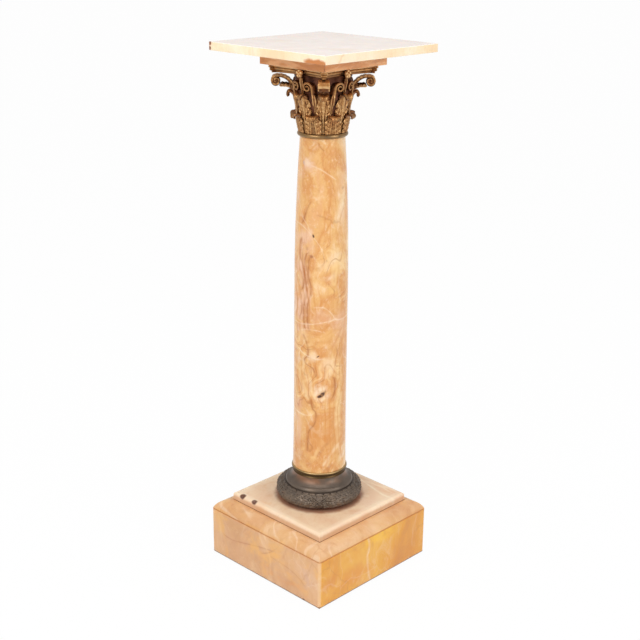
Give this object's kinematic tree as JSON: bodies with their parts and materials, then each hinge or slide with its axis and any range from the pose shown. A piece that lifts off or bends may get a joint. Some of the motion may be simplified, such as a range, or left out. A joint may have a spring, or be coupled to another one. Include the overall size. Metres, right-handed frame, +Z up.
{
  "type": "pedestal column stand",
  "caption": "Classical pedestal: onyx shaft with a bronze leaf capital and foot on a stepped square onyx plinth, under a square onyx top that turns.",
  "frame": {"origin": "middle of the plinth's underside, on the column's axis", "axes": "+Z up along the column; X and Y along the sides of the square plinth and top"},
  "size_m": [0.326, 0.326, 1.0885],
  "materials": {
    "onyx_top": "polished",
    "onyx_neck": "gloss",
    "onyx_shaft": "polished",
    "onyx_plate": "gloss",
    "onyx_block": "gloss",
    "gilt_bronze": "satin",
    "dark_bronze": "satin",
    "ring_brass": "satin",
    "iron": "matte",
    "leather": "matte"
  },
  "bodies": {
    "column": {"shaft": "onyx_shaft", "plinth_plate": "onyx_plate", "plinth_block": "onyx_block", "capital_astragal": "gilt_bronze", "capital_bell": "gilt_bronze", "abacus": "gilt_bronze", "foot_casting": "dark_bronze", "shaft_ring": "ring_brass", "ornament_rivets": "ring_brass", "abacus_screws": "iron", "tie_rod": "iron", "top_nut": "iron", "foot_nut": "iron", "top_washer": "iron", "foot_washer": "iron", "glide_washer": "leather", "upper_leaf_1": "gilt_bronze", "lower_leaf_1": "gilt_bronze", "upper_leaf_2": "gilt_bronze", "lower_leaf_2": "gilt_bronze", "upper_leaf_3": "gilt_bronze", "lower_leaf_3": "gilt_bronze", "upper_leaf_4": "gilt_bronze", "lower_leaf_4": "gilt_bronze", "upper_leaf_5": "gilt_bronze", "lower_leaf_5": "gilt_bronze", "upper_leaf_6": "gilt_bronze", "lower_leaf_6": "gilt_bronze", "upper_leaf_7": "gilt_bronze", "lower_leaf_7": "gilt_bronze", "upper_leaf_8": "gilt_bronze", "lower_leaf_8": "gilt_bronze", "corner_volute_1": "gilt_bronze", "calyx_leaf_1": "gilt_bronze", "helix_pair_1": "gilt_bronze", "fleuron_1": "gilt_bronze", "corner_volute_2": "gilt_bronze", "calyx_leaf_2": "gilt_bronze", "helix_pair_2": "gilt_bronze", "fleuron_2": "gilt_bronze", "corner_volute_3": "gilt_bronze", "calyx_leaf_3": "gilt_bronze", "helix_pair_3": "gilt_bronze", "fleuron_3": "gilt_bronze", "corner_volute_4": "gilt_bronze", "calyx_leaf_4": "gilt_bronze", "helix_pair_4": "gilt_bronze", "fleuron_4": "gilt_bronze"},
    "top": {"top_slab": "onyx_top", "neck_slab": "onyx_neck", "pivot_bush": "ring_brass"}
  },
  "joints": [
    {"name": "top_turn", "type": "hinge", "parent": "column", "child": "top", "pos_m": [0, 0, 1.048], "axis": [0, 0, 1], "continuous": true}
  ]
}
